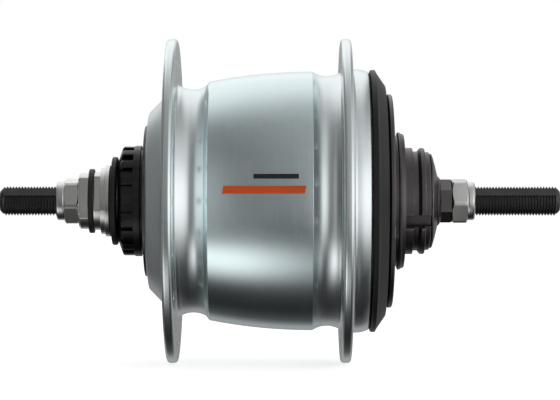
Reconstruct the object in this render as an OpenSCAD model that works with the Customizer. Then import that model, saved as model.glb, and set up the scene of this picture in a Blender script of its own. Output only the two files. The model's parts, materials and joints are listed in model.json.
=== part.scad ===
// Eight-speed bicycle hub gear: two epicyclic stages inside a spoked aluminium shell.
// Everything turns about one fixed axle. The axle lies along +Y, the drive side is +Y and
// +Z is up. The origin is the middle of the axle. Lengths are millimetres.
// The gear train is drawn in fourth gear, with the drive-side sun and sun 4 held.

/* [Axle] */
// Length of the axle over both ends
axle_length = 184; // [176:1:192]
// Diameter over the axle thread
thread_diameter = 9.525; // [9.4:0.005:9.6]
// Distance across the two flats on each threaded end
axle_flats = 8.95; // [8.9:0.01:9.2]
// Radius of the thick middle of the axle
axle_core_radius = 6.0; // [5.6:0.05:6.0]
// Elevation of the upper axle flat above the horizontal, in degrees
flat_tilt = 42; // [0:1:90]

/* [Hub shell] */
// Diameter over the spoke flanges
flange_diameter = 106.4; // [100:0.2:110]
// Thickness of a spoke flange
flange_thickness = 3.4; // [3:0.1:3.8]
// Position of the left flange's middle along the axle
left_flange_y = -35.2; // [-35.6:0.1:-35.0]
// Position of the right flange's middle along the axle
right_flange_y = 21.5; // [21.3:0.1:21.7]
// Greatest radius of the barrel
barrel_radius = 42.5; // [42:0.1:43]
// Radius of the long curve along the barrel
barrel_curve = 175; // [160:1:400]
// Inner radius of the shell around the gear train
shell_bore = 35; // [34.6:0.1:35.2]

/* [Spokes] */
// Pitch circle diameter of the spoke holes
spoke_circle = 93; // [90:0.5:96]
// Number of spoke holes in each flange
spokes_per_flange = 18; // [12:1:20]
// Diameter of a spoke hole
spoke_hole = 2.9; // [2.4:0.1:3.2]

/* [Brake spline] */
// Number of brake spline teeth
spline_teeth = 18; // [12:1:24]
// Radius over the spline teeth
spline_radius = 17.95; // [17.6:0.05:18.1]
// Radius of the smooth brake seat beside the teeth
brake_seat_radius = 18.2; // [18.15:0.05:18.6]
// Elevation of the first spline tooth above the horizontal, in degrees
spline_tilt = 2.2; // [0:0.1:20]

/* [Driver] */
// Radius of the sprocket seat
sprocket_seat_radius = 17.5; // [17.45:0.05:17.5]
// Width of a sprocket key slot
key_slot_width = 4.6; // [3.5:0.1:6]
// Radius at the floor of a key slot
key_slot_floor = 15.2; // [14.8:0.1:15.6]

/* [Gear train] */
// Play taken off each gear tooth along the pitch circle
tooth_play = 0.12; // [0.08:0.01:0.18]
// Radius of a planet pin
pin_radius = 2.47; // [2.2:0.01:2.5]

/* [Shifter] */
// Turn of the shift sleeve from one gear to the next, in degrees
gear_step = 18; // [14:1:18]

/* [Hidden] */

$fn = 96;
GAP = 0.03;                   // play between fixed pieces that slide over one another
CUT = 0.5;                    // how far a cutting shape runs past the solid it cuts
PRESSURE = 20;                // pressure angle of every gear
FLANK_STEPS = 3;              // straight steps in a tooth flank

ALUMINIUM = [0.72, 0.75, 0.75];
BLACK_PLASTIC = [0.07, 0.075, 0.075];
BLACK_STEEL = [0.06, 0.06, 0.065];
BROWN_STEEL = [0.19, 0.17, 0.17];
BRIGHT_STEEL = [0.78, 0.78, 0.77];
GEAR_STEEL = [0.5, 0.5, 0.52];
RUBBER = [0.05, 0.05, 0.05];

// Axle stations
thread_radius = thread_diameter / 2;
thread_bore = thread_radius + GAP;
axle_end = axle_length / 2;
core_start = -46;
core_end = 44;
lead_in = 1.0;                // length of the plain cone at each end of the thread
root_radius = 4.25;           // at the foot of the thread

// Fixed stack on the left, from the end inwards
left_washer_y = [-73.3, -70.7];
left_nut_y = [-70.7, -66.0];
adjusting_nut_y = [-66.0, -62.6];
lock_washer_y = [-62.6, -61.0];
left_cone_y = [-61.0, -46.4];
end_washer_radius = 6.28;
locknut_corner = 7.95;
locknut_turned = 7.62;

// Fixed stack on the right
right_cone_y = [44.6, 56.4];
right_nut_y = [56.4, 61.5];
right_washer_y = [61.5, 63.9];

// Angular-contact bearings: [pitch radius, position, ball radius, number of balls]
left_bearing = [10.4, -47.6, 2.6, 9];
main_bearing = [29.5, 29.6, 2.4, 24];
driver_bearing = [9.6, 44.5, 2.0, 9];
ball_play = 0.04;
// Offset of a 45 degree race's touching point from the ball's centre
left_offset = (left_bearing[2] + ball_play) / sqrt(2);
main_offset = (main_bearing[2] + ball_play) / sqrt(2);
driver_offset = (driver_bearing[2] + ball_play) / sqrt(2);

// Distance from the axle to each planet pin
planet_orbit = 21;

// Gears: [teeth, module]
RING = [60, 1];
PLANET_RING = [18, 1];
SUN_1 = [39, 2 * planet_orbit / 52];
PLANET_SUN_1 = [13, 2 * planet_orbit / 52];
SUN_2 = [18, 1];
PLANET_SUN_2 = [24, 1];
SUN_3 = [24, 2 * planet_orbit / 41];
PLANET_SUN_3 = [17, 2 * planet_orbit / 41];
SUN_4 = [33, 2 * planet_orbit / 49];
PLANET_SUN_4 = [16, 2 * planet_orbit / 49];
ADDENDUM = 0.8;
DEDENDUM = 1.15;
ring_outer = 33.5;
ring_inner = 31.6;

// Gear stations along the axle
ring_2_y = [-26, -18];
sun_4_y = [-17, -11];
sun_3_y = [-10, -4];
sun_2_y = [-3, 3];
sun_1_y = [7, 12];
ring_1_y = [13, 19];
left_plate_y = [-30, -28];
mid_plate_y = [4, 6];
right_plate_y = [20, 22];
ring_1_web_y = [23, 25];
ring_2_web_y = [-33, -31];
plate_radius = 28.5;
post_orbit = 25;
post_radius = 3;

// Shift sleeve
sleeve_inner = axle_core_radius + 0.06;
sleeve_outer = 6.72;
sun_bore = sleeve_outer + 0.08;
sleeve_y = [-18, 38];
pawl_width = 3;
pawl_tip = 8.2;
window_angle = 7 * gear_step + 2 * asin(pawl_width / 2 / sleeve_inner) + 6;

// Roller clutch
roller_count = 12;
roller_radius = 2.2;
cam_apothem = 19.7;
roller_orbit = cam_apothem + roller_radius + 0.05;
clutch_bore = roller_orbit + roller_radius + 0.05;
clutch_y = [-40.4, -34.6];

// Driver
driver_bore = 9;
driver_mouth = 12.5;
driver_end = 49;
driver_boss_radius = 14;
ratchet_inner = 16.2;
ratchet_outer = 17.7;
ratchet_teeth = 18;
key_slot_angle = 23.5;
cap_seat = 18.3;
// Corners of a driver pawl and of its pocket, as [radius, degrees]
pawl_corners = [[17.3, 14.9], [15.4, 14.9], [11.6, 28], [11.2, 40], [13.7, 40]];
pocket_corners = [[19, 13.5], [15.2, 13.5], [11.3, 27], [10.9, 41], [15, 41]];

// ---- Helpers -------------------------------------------------------------------------

// Turns the drawing axis, +Z, to lie along the axle, +Y
module on_axle() rotate([-90, 0, 0]) children();

// Solid of revolution from [radius, position] points
module turned(points) on_axle() rotate_extrude() polygon(points);

// Plain ring between two positions
module ring(span, inner, outer)
    turned([[inner, span[0]], [outer, span[0]], [outer, span[1]], [inner, span[1]]]);

// Straight prism of a flat outline between two positions
module prism(span)
    on_axle() translate([0, 0, span[0]]) linear_extrude(span[1] - span[0]) children();

// Copies at equal angles about the axle
module around(count, start = 0)
    for (i = [0:count - 1]) rotate([0, start + i * 360 / count, 0]) children();

// Points of an arc in a [radius, position] outline
function arc(centre, radius, from, to, steps) =
    [for (i = [0:steps]) let (a = from + (to - from) * i / steps)
        centre + radius * [cos(a), sin(a)]];

// Two parallel wrench flats, as the space outside them; tilt is the flats' elevation
module outside_flats(span, across, tilt, reach)
    rotate([0, -tilt, 0])
        for (side = [-1, 1])
            translate([side * (across / 2 + reach / 2), (span[0] + span[1]) / 2, 0])
                cube([reach, span[1] - span[0], 2 * reach], center = true);

// Space of an outward slot at +X whose walls point at the axle, width at its floor
module radial_slot(span, floor, width) {
    half = atan(width / 2 / floor);
    prism(span) difference() {
        polygon([[0, 0], 2 * floor * [cos(half), -sin(half)],
                 2 * floor * [cos(half), sin(half)]]);
        circle(floor);
    }
}

// Degrees of involute roll at a radius
function involute(radius, base) =
    let (a = acos(min(1, base / radius))) tan(a) * 180 / PI - a;

// Half of a tooth's angle at a radius; thinner is taken off its width at the pitch circle
function tooth_half(radius, gear, thinner) =
    let (pitch = gear[0] * gear[1] / 2, base = pitch * cos(PRESSURE))
    90 / gear[0] - thinner / 2 / pitch * 180 / PI
        + involute(pitch, base) - involute(max(radius, base), base);

// Radii at which a flank has a corner, from its foot to its tip
function flank_radii(gear, low, high) =
    let (base = gear[0] * gear[1] / 2 * cos(PRESSURE), start = max(low, base))
    concat(low < base ? [low] : [],
           [for (i = [0:FLANK_STEPS]) start + (high - start) * i / FLANK_STEPS]);

// Outline of a toothed wheel whose first tooth points along turn degrees
module toothed(gear, low, high, thinner, turn = 0) {
    radii = flank_radii(gear, low, high);
    last = len(radii) - 1;
    polygon([for (k = [0:gear[0] - 1]) for (side = [-1, 1]) for (i = [0:last])
        let (r = radii[side < 0 ? i : last - i],
             a = turn + k * 360 / gear[0] + side * tooth_half(r, gear, thinner))
        [r * cos(a), r * sin(a)]]);
}

function pitch_radius(gear) = gear[0] * gear[1] / 2;

// External gear outline
module spur(gear, turn = 0)
    toothed(gear, pitch_radius(gear) - DEDENDUM * gear[1],
            pitch_radius(gear) + ADDENDUM * gear[1], tooth_play, turn);

// Space inside an internal gear
module ring_space()
    toothed(RING, pitch_radius(RING) - ADDENDUM, pitch_radius(RING) + DEDENDUM, -tooth_play);

// Half a tooth pitch on a wheel with an even number of teeth, so a gap faces the sun
function to_sun(gear) = gear[0] % 2 == 0 ? 180 / gear[0] : 0;

// Balls of an angular-contact bearing
module balls(bearing, play = 0)
    around(bearing[3])
        translate([bearing[0], bearing[1], 0]) sphere(bearing[2] + play);

// ---- Fixed pieces on the axle --------------------------------------------------------

module pawl_slot(middle, length, low, high, play)
    translate([-pawl_width / 2 - play, middle - length / 2 - play, low])
        cube([pawl_width + 2 * play, length + 2 * play, high - low]);

module axle() {
    color(BLACK_STEEL) difference() {
        turned([[0, -axle_end], [root_radius - lead_in, -axle_end],
                [root_radius, -axle_end + lead_in], [thread_radius, -axle_end + lead_in],
                [thread_radius, core_start], [axle_core_radius, core_start],
                [axle_core_radius, core_end], [thread_radius, core_end],
                [thread_radius, axle_end - lead_in], [root_radius, axle_end - lead_in],
                [root_radius - lead_in, axle_end], [0, axle_end]]);
        for (middle = [left_washer_y[0] + 0.4, right_washer_y[1] - 0.4]) // thread reliefs
            ring([middle - 0.4, middle + 0.4], root_radius, thread_radius + CUT);
        outside_flats([-axle_end - CUT, left_washer_y[0] + 0.4], axle_flats, flat_tilt, 6);
        outside_flats([right_washer_y[1] - 0.4, axle_end + CUT], axle_flats, flat_tilt, 6);
        for (end = [-1, 1]) // centre marks
            turned([[0, end * (axle_end + CUT)], [1.9, end * (axle_end + CUT)],
                    [0, end * (axle_end - 1.3)]]);
        for (span = [sun_1_y, sun_4_y])
            pawl_slot((span[0] + span[1]) / 2, 3.2, 4.2, 8, 0.05);
    }
}

module left_end_washer() {
    color(BRIGHT_STEEL)
        turned([[thread_bore, left_washer_y[0]], [end_washer_radius - 0.4, left_washer_y[0]],
                [end_washer_radius, left_washer_y[0] + 0.4],
                [end_washer_radius, left_washer_y[1]], [thread_bore, left_washer_y[1]]]);
}

module right_end_washer() {
    color(BRIGHT_STEEL)
        turned([[thread_bore, right_washer_y[0]], [end_washer_radius, right_washer_y[0]],
                [end_washer_radius, right_washer_y[1] - 0.4],
                [end_washer_radius - 0.4, right_washer_y[1]],
                [thread_bore, right_washer_y[1]]]);
}

// Hexagonal nut with its corners turned down and both faces chamfered
module locknut(span, tilt)
    intersection() {
        difference() {
            prism(span) rotate(tilt) circle(locknut_corner, $fn = 6);
            ring([span[0] - CUT, span[1] + CUT], 0, thread_bore);
        }
        turned([[0, span[0]], [locknut_turned - 0.9, span[0]],
                [locknut_turned, span[0] + 0.5], [locknut_turned, span[1] - 0.5],
                [locknut_turned - 0.9, span[1]], [0, span[1]]]);
    }

module left_locknut() { color(BRIGHT_STEEL) locknut(left_nut_y, 13); }

module right_locknut() { color(BRIGHT_STEEL) locknut(right_nut_y, 6); }

module left_adjusting_nut() {
    outer = 9.2;
    color(BRIGHT_STEEL) difference() {
        turned([[thread_bore, adjusting_nut_y[0]], [outer - 0.7, adjusting_nut_y[0]],
                [outer, adjusting_nut_y[0] + 0.7], [outer, adjusting_nut_y[1]],
                [thread_bore, adjusting_nut_y[1]]]);
        outside_flats([adjusting_nut_y[0] - CUT, adjusting_nut_y[1] + CUT], 12.8, 9, 10);
    }
}

module left_lock_washer() { color(RUBBER) ring(lock_washer_y, thread_bore, 10.55); }

module left_cone() {
    race = left_bearing[0] - left_offset;
    race_y = left_bearing[1] - left_offset;
    neck = 9;
    color(BRIGHT_STEEL) difference() {
        turned([[thread_bore, left_cone_y[0]], [9.5, left_cone_y[0]], [9.5, -58.7],
                [10.9, -58.7], [10.9, -57.2], [11.7, -57.2], [11.7, -55.7], [neck, -55.7],
                [neck, race_y + race - neck], [race - left_offset, left_bearing[1]],
                [race - left_offset, left_cone_y[1]], [thread_bore, left_cone_y[1]]]);
        outside_flats([left_cone_y[0] - CUT, -58.7], 15, 20, 10);
    }
}

module left_dust_ring() {
    color(RUBBER)
        turned([[9 + GAP, -55.6], [11.6, -55.6], [12.2, -55.2], [14.2, -55.0],
                [14.5, -54.7], [14.5, -53.6], [14.2, -53.3], [9 + GAP, -53.3]]);
}

// Sun gear held by a pawl, with pawl notches round its bore
module held_sun(gear, span, notches)
    difference() {
        prism(span) difference() { spur(gear); circle(sun_bore); }
        around(notches)
            pawl_slot((span[0] + span[1]) / 2, span[1] - span[0] + 2 * CUT, sun_bore - CUT,
                      pawl_tip + 0.1, 0.1);
    }

module sun_gear_1() { color(GEAR_STEEL) held_sun(SUN_1, sun_1_y, 6); }

module sun_gear_4() { color(GEAR_STEEL) held_sun(SUN_4, sun_4_y, 6); }

module sun_gear_3() { color(GEAR_STEEL) held_sun(SUN_3, sun_3_y, 6); }

module sun_gear_2() {
    color(GEAR_STEEL) prism(sun_2_y) difference() { spur(SUN_2); circle(sun_bore); }
}

module sun_pawls() {
    color(BRIGHT_STEEL) for (span = [sun_1_y, sun_4_y])
        pawl_slot((span[0] + span[1]) / 2, 3.2, 4.3, pawl_tip, 0);
}

module sun_thrust_washers() {
    color(BRIGHT_STEEL) for (middle = [-10.5, -3.5, 3.5])
        ring([middle - 0.35, middle + 0.35], sun_bore, 7.9);
}

// Coiled wire round the axle, swept as one closed skin
module shift_return_spring() {
    coil = 7.85;
    wire = 0.42;
    turns = 6;
    start = 24.5;
    pitch = 1.6;
    sides = 6;
    per_turn = 12;
    rings = turns * per_turn;
    points = [for (i = [0:rings]) for (j = [0:sides - 1])
        let (a = i * 360 / per_turn, s = j * 360 / sides, r = coil + wire * cos(s))
        [r * cos(a), start + pitch * i / per_turn + wire * sin(s), r * sin(a)]];
    sides_up = [for (i = [0:rings - 1]) for (j = [0:sides - 1])
        let (n = (j + 1) % sides)
        [i * sides + j, i * sides + n, (i + 1) * sides + n, (i + 1) * sides + j]];
    first = [[for (j = [sides - 1:-1:0]) j]];
    last = [[for (j = [0:sides - 1]) rings * sides + j]];
    color(BRIGHT_STEEL) polyhedron(points, concat(sides_up, first, last));
}

module right_cone() {
    race = driver_bearing[0] - driver_offset;
    race_y = driver_bearing[1] + driver_offset;
    color(BROWN_STEEL) difference() {
        union() {
            turned([[0, right_cone_y[0]], [race - race_y + right_cone_y[0], right_cone_y[0]],
                    [9.4, race_y + 9.4 - race], [9.4, 49.2], [8.1, 49.2], [8.1, 52],
                    [7.1, 52.7], [0, 52.7]]);
            prism([52, right_cone_y[1]]) rotate(30) circle(7.1, $fn = 6);
        }
        ring([right_cone_y[0] - CUT, right_cone_y[1] + CUT], 0, thread_bore);
    }
}

module right_dust_shield() {
    color(BROWN_STEEL)
        turned([[8.1 + GAP, 49.3], [15.6, 49.3], [15.3, 49.8], [13.7, 50.3], [12.35, 50.7],
                [9.06, 51.5], [8.1 + GAP, 51.5]]);
}

// ---- Pieces that turn with the shell -------------------------------------------------

barrel_end = 10.5;
left_edge = -22.9;

// Barrel outline: one long arc that is widest at its right edge
function barrel(y) = barrel_radius - barrel_curve
    + sqrt(barrel_curve * barrel_curve - (barrel_end - y) * (barrel_end - y));

module hub_shell() {
    half = flange_thickness / 2;
    rim = flange_diameter / 2 - half;
    left_in = left_flange_y + half;
    right_in = right_flange_y - half;
    right_out = right_flange_y + half;
    steps = 8;
    outline = concat(
        [[15.4, -51], [15.4, -43.3], [25.7, -43.3], [29, -42.8], [33.3, -38.6],
         [35.4, left_flange_y - half]],
        arc([rim, left_flange_y], half, -90, 90, steps),
        // Left groove: small fillet, hollow and the chamfer at the barrel's edge
        arc([38.8, left_in + 1.1], 1.1, -90, -150, 2),
        arc([45.2, left_in + 5.1], 8.5, -152, -209.6, steps),
        [[39.05, left_edge - 0.4]],
        [for (i = [0:12]) let (y = left_edge + (barrel_end - left_edge) * i / 12)
            [barrel(y), y]],
        // Right groove: a shallower hollow and a small fillet
        arc([49.55, right_in - 4.5], 8.5, 205, 155, steps),
        arc([42.75, right_in - 0.9], 0.9, 150, 90, 2),
        arc([rim, right_flange_y], half, -90, 90, steps),
        arc([43.3 + 1.2, right_out + 1.2], 1.2, -90, -180, 4),
        [[43.3, 25.2], [43.2, 26], [43.05, 26.9], [42.8, 27.8], [42.5, 28.5], [42.1, 29]],
        [[38, 29], [38, 19], [shell_bore, 19], [shell_bore, -33.4], [28.5, -34.4],
         [27.5, -34.4], [27.5, -40.6], [12, -40.6], [12, -43.2], [14.05, -43.2],
         [14.05, -51]]);
    color(ALUMINIUM) difference() {
        turned(outline);
        for (y = [left_flange_y, right_flange_y])
            around(spokes_per_flange, y > 0 ? 180 / spokes_per_flange : 0)
                translate([spoke_circle / 2, y, 0])
                    ring([-flange_thickness, flange_thickness], 0, spoke_hole / 2);
    }
}

module brake_spline() {
    tooth_y = [-51.4, -47.5];
    root = 16.6;
    slot_y = [-53.4, tooth_y[1] - 0.15];
    color(BLACK_STEEL) difference() {
        turned([[12.6, -52.7], [14, -52.7], [spline_radius - 0.35, tooth_y[0]],
                [spline_radius, -51], [spline_radius, tooth_y[1]],
                [brake_seat_radius, tooth_y[1]], [brake_seat_radius, -45.4], [16.8, -45.4],
                [16.8, -44.2], [15.4 + GAP, -44.2], [15.4 + GAP, -51.1], [12.6, -51.1]]);
        around(spline_teeth, 180 / spline_teeth - spline_tilt)
            radial_slot(slot_y, root, root * sin(180 / spline_teeth));
    }
}

module left_dust_plate() { color(BROWN_STEEL) ring([-44.15, -43.35], 15.4 + GAP, 24.75); }

module left_bearing_cup() {
    touch = left_bearing[0] + left_offset;
    touch_y = left_bearing[1] + left_offset;
    wall = 13.4;
    lip = 9.9;
    color(BRIGHT_STEEL)
        turned([[wall, -50.9], [14, -50.9], [14, -43.2], [lip, -43.2],
                [lip, touch_y + touch - lip], [wall, touch_y + touch - wall]]);
}

module right_ball_cup() {
    touch = main_bearing[0] + main_offset;
    touch_y = main_bearing[1] - main_offset;
    wall = 33.1;
    lip = 30;
    color(GEAR_STEEL)
        turned([[34.2, 19.2], [37.95, 19.2], [37.95, 28.9], [36.5, 28.9], [36.5, 33],
                [wall, 33], [wall, touch_y + wall - touch], [lip, touch_y + lip - touch],
                [lip, 25.6], [34.2, 25.6]]);
}

module right_cover() {
    color(BLACK_PLASTIC)
        turned([[36.5 + GAP, 29.4], [42.7, 29.4], [43.1, 29.8], [43.1, 31], [42, 31.6],
                [37.9, 34.4], [34.4, 34.4], [34.4, 33.3], [36.5 + GAP, 33.3]]);
}

module clutch_race() { color(GEAR_STEEL) ring(clutch_y, clutch_bore, 27.4); }

// ---- Gear train ----------------------------------------------------------------------

// Toothed part of a ring gear
module ring_teeth_band(span)
    prism(span) difference() { circle(ring_outer); ring_space(); }

module ring_gear_2() {
    color(GEAR_STEEL) {
        ring_teeth_band(ring_2_y);
        turned([[9.2, ring_2_web_y[0]], [ring_outer, ring_2_web_y[0]],
                [ring_outer, ring_2_y[0]], [ring_inner, ring_2_y[0]],
                [ring_inner, ring_2_web_y[1]], [9.2, ring_2_web_y[1]]]);
        prism([clutch_y[0] + 0.2, ring_2_web_y[0]]) difference() {
            circle(cam_apothem / cos(180 / roller_count), $fn = roller_count);
            circle(9.2);
        }
    }
}

module ring_gear_1() {
    color(GEAR_STEEL) difference() {
        union() {
            ring_teeth_band(ring_1_y);
            turned([[ring_inner, ring_1_y[1]], [ring_outer, ring_1_y[1]],
                    [ring_outer, ring_1_web_y[1]], [ratchet_inner, ring_1_web_y[1]],
                    [ratchet_inner, ring_1_web_y[0]], [ring_inner, ring_1_web_y[0]]]);
        }
        prism([ring_1_web_y[0] - CUT, ring_1_web_y[1] + CUT])
            polygon([for (k = [0:ratchet_teeth - 1]) for (edge = [0, 1])
                let (r = edge == 0 ? ratchet_outer : ratchet_inner - 0.01,
                     a = (k + edge * 0.97 - 0.3) * 360 / ratchet_teeth)
                [r * cos(a), r * sin(a)]]);
    }
}

module rollers(radius, span)
    around(roller_count, 180 / roller_count)
        translate([roller_orbit, 0, 0]) ring(span, 0, radius);

module clutch_rollers() { color(BRIGHT_STEEL) rollers(roller_radius, [-39.5, -35.5]); }

module clutch_cage() {
    color(BROWN_STEEL) difference() {
        ring([clutch_y[0] + 0.2, clutch_y[1] - 0.2], 20.7, 23.4);
        around(roller_count, 180 / roller_count)
            translate([roller_orbit, -37.5, 0])
                cube([6, 4.3, 2 * roller_radius + 0.3], center = true);
    }
}

// Planet pin holes through a carrier plate
module pin_holes(span)
    around(3) translate([planet_orbit, 0, 0])
        ring([span[0] - CUT, span[1] + CUT], 0, pin_radius + GAP);

module posts(span)
    around(3, 60) translate([post_orbit, 0, 0]) ring(span, 0, post_radius);

module carrier_left() {
    color(BROWN_STEEL) union() {
        difference() {
            turned([[axle_core_radius + 0.06, -39], [9.13, -39], [9.13, left_plate_y[0]],
                    [plate_radius, left_plate_y[0]], [plate_radius, left_plate_y[1]],
                    [axle_core_radius + 0.06, left_plate_y[1]]]);
            pin_holes(left_plate_y);
        }
        posts([left_plate_y[1] - 0.6, mid_plate_y[0]]);
    }
}

module carrier_mid() {
    color(BROWN_STEEL) union() {
        difference() {
            ring(mid_plate_y, 8.1, plate_radius);
            pin_holes(mid_plate_y);
        }
        posts([mid_plate_y[1] - 0.6, right_plate_y[0]]);
    }
}

module carrier_right() {
    color(BROWN_STEEL) difference() {
        ring(right_plate_y, sun_bore, plate_radius);
        pin_holes(right_plate_y);
    }
}

module planet_pins() {
    color(BRIGHT_STEEL) around(3) translate([planet_orbit, 0, 0])
        ring([left_plate_y[0] + 0.1, right_plate_y[1] - 0.1], 0, pin_radius);
}

// Puts a planet on pin number i
module at_pin(i) rotate([0, i * 120, 0]) translate([planet_orbit, 0, 0]) children();

// One step of a planet gear
module planet_step(gear, span, turn)
    prism(span) difference() { spur(gear, turn); circle(pin_radius + 0.06); }

module planet_hub(span, radius) ring(span, pin_radius + 0.06, radius);

module planet_a(i) {
    color(GEAR_STEEL) at_pin(i) {
        planet_step(PLANET_SUN_1, sun_1_y, to_sun(PLANET_SUN_1));
        planet_step(PLANET_RING, ring_1_y, 0);
        planet_hub([6.4, 19.6], 4);
    }
}

module planet_b(i) {
    color(GEAR_STEEL) at_pin(i) {
        planet_step(PLANET_RING, ring_2_y, 0);
        planet_step(PLANET_SUN_4, sun_4_y, to_sun(PLANET_SUN_4));
        planet_step(PLANET_SUN_3, sun_3_y, to_sun(PLANET_SUN_3));
        planet_step(PLANET_SUN_2, sun_2_y, to_sun(PLANET_SUN_2));
        planet_hub([-27.6, 3.6], 5.2);
    }
}

module planet_a_1() { planet_a(0); }
module planet_a_2() { planet_a(1); }
module planet_a_3() { planet_a(2); }
module planet_b_1() { planet_b(0); }
module planet_b_2() { planet_b(1); }
module planet_b_3() { planet_b(2); }

// The windows let the sun pawls through over the sleeve's whole turn
module sleeve_window(span) {
    first = -90 - window_angle / 2 - gear_step / 2;
    prism([span[0] + 0.6, span[1] - 0.6])
        polygon(concat([[0, 0]], [for (i = [0:4]) let (a = first + window_angle * i / 4)
            2 * sleeve_outer * [cos(a), sin(a)]]));
}

module shift_sleeve() {
    color(BROWN_STEEL) difference() {
        union() {
            ring(sleeve_y, sleeve_inner, sleeve_outer);
            ring([35.5, 40], sleeve_inner, 7.9);
        }
        sleeve_window(sun_1_y);
        sleeve_window(sun_4_y);
        for (span = [[-10.5, 4.5], [13.5, 34]]) // bore reliefs
            ring(span, sleeve_inner - CUT, sleeve_inner + 0.15);
        for (span = [[-10.6, -10.4], [4, 5], [13.5, 35]]) // oil grooves and a turned-down neck
            ring(span, sleeve_outer - 0.12, sleeve_outer + CUT);
        around(3, 60) translate([8, 39.2, 0]) cube([3, 2.6, 3], center = true);
    }
}

// ---- Driver --------------------------------------------------------------------------

module driver() {
    outer_race = main_bearing[0] - main_offset;
    outer_race_y = main_bearing[1] + main_offset;
    inner_touch = driver_bearing[0] + driver_offset;
    inner_touch_y = driver_bearing[1] - driver_offset;
    seat = sprocket_seat_radius;
    color(BROWN_STEEL) difference() {
        turned([[driver_bore, 22.6], [driver_boss_radius, 22.6], [driver_boss_radius, 25.6],
                [outer_race - outer_race_y + 28.4, 25.6],
                [outer_race - outer_race_y + 28.4, 28.4],
                [outer_race - outer_race_y + 32.9, 32.9],
                [outer_race - outer_race_y + 32.9, 33.3], [33.9, 33.3], [33.9, 34.4],
                [21.45, 34.4], [21.45, 38.4], [cap_seat, 38.4], [cap_seat, 40.5],
                [seat, 40.5], [seat, 43.2], [seat - 0.2, 43.4],
                [16.3, 43.4], [16.3, 44.9], [seat - 0.05, 45.9], [seat - 0.05, 47],
                [seat - 0.3, 47.3], [16.1, 47.3], [16.1, driver_end - 0.4],
                [15.7, driver_end], [driver_mouth, driver_end],
                [driver_mouth, inner_touch_y + driver_mouth - inner_touch],
                [driver_bore, inner_touch_y + driver_bore - inner_touch]]);
        around(3, key_slot_angle)
            radial_slot([40.4, driver_end + CUT], key_slot_floor,
                        key_slot_width * key_slot_floor / seat);
        around(3) prism([22.6 - CUT, 25.2]) polar_outline(pocket_corners);
    }
}

// Flat outline from [radius, degrees] corners
module polar_outline(corners)
    polygon([for (c = corners) [c[0] * cos(c[1]), c[0] * sin(c[1])]]);

// Pawls that lean forwards out of the driver's boss into the ring gear's ratchet
module driver_pawls() {
    color(BRIGHT_STEEL) around(3) prism([22.7, 25.1]) polar_outline(pawl_corners);
}

module driver_dust_plate() {
    color(BROWN_STEEL)
        turned([[21.45 + GAP, 34.4], [33, 34.4], [33, 34.9], [34.7, 34.9], [35.1, 35.3],
                [35.1, 36.2], [34.7, 36.6], [21.45 + GAP, 36.6]]);
}

module driver_dust_cap() {
    bore = cap_seat + GAP;
    color(BROWN_STEEL)
        turned([[bore, 38.4], [22.4, 38.4], [22.6, 38.6], [22.6, 39.2], [22.3, 39.4],
                [22.2, 39.6], [21.9, 40.5], [bore, 40.5]]);
}

// ---- Bearings ------------------------------------------------------------------------

module left_balls() { color(BRIGHT_STEEL) balls(left_bearing); }

module left_ball_retainer() {
    color(BROWN_STEEL) difference() {
        ring([-50.6, -48.8], 10.7, 12.9);
        balls(left_bearing, 0.05);
    }
}

module main_balls() { color(BRIGHT_STEEL) balls(main_bearing); }

module main_ball_retainer() {
    color(BROWN_STEEL) difference() {
        ring([30.4, 32.2], 29.8, 32.4);
        balls(main_bearing, 0.05);
    }
}

module driver_balls() { color(BRIGHT_STEEL) balls(driver_bearing); }

module driver_ball_retainer() {
    color(BROWN_STEEL) difference() {
        ring([44.9, 46.6], 9.9, 11.9);
        balls(driver_bearing, 0.05);
    }
}

axle();
left_end_washer();
left_locknut();
left_adjusting_nut();
left_lock_washer();
left_cone();
left_dust_ring();
sun_gear_1();
sun_gear_4();
sun_pawls();
sun_thrust_washers();
shift_return_spring();
right_cone();
right_dust_shield();
right_locknut();
right_end_washer();
hub_shell();
brake_spline();
left_dust_plate();
left_bearing_cup();
right_ball_cup();
right_cover();
clutch_race();
ring_gear_2();
clutch_rollers();
clutch_cage();
carrier_left();
carrier_mid();
carrier_right();
planet_pins();
planet_a_1();
planet_a_2();
planet_a_3();
planet_b_1();
planet_b_2();
planet_b_3();
sun_gear_2();
sun_gear_3();
shift_sleeve();
ring_gear_1();
driver();
driver_pawls();
driver_dust_plate();
driver_dust_cap();
left_balls();
left_ball_retainer();
main_balls();
main_ball_retainer();
driver_balls();
driver_ball_retainer();
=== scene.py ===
"""The hub gear's looks: bevelled visible pieces, procedural materials, a studio and a camera."""

import json
import math

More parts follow.
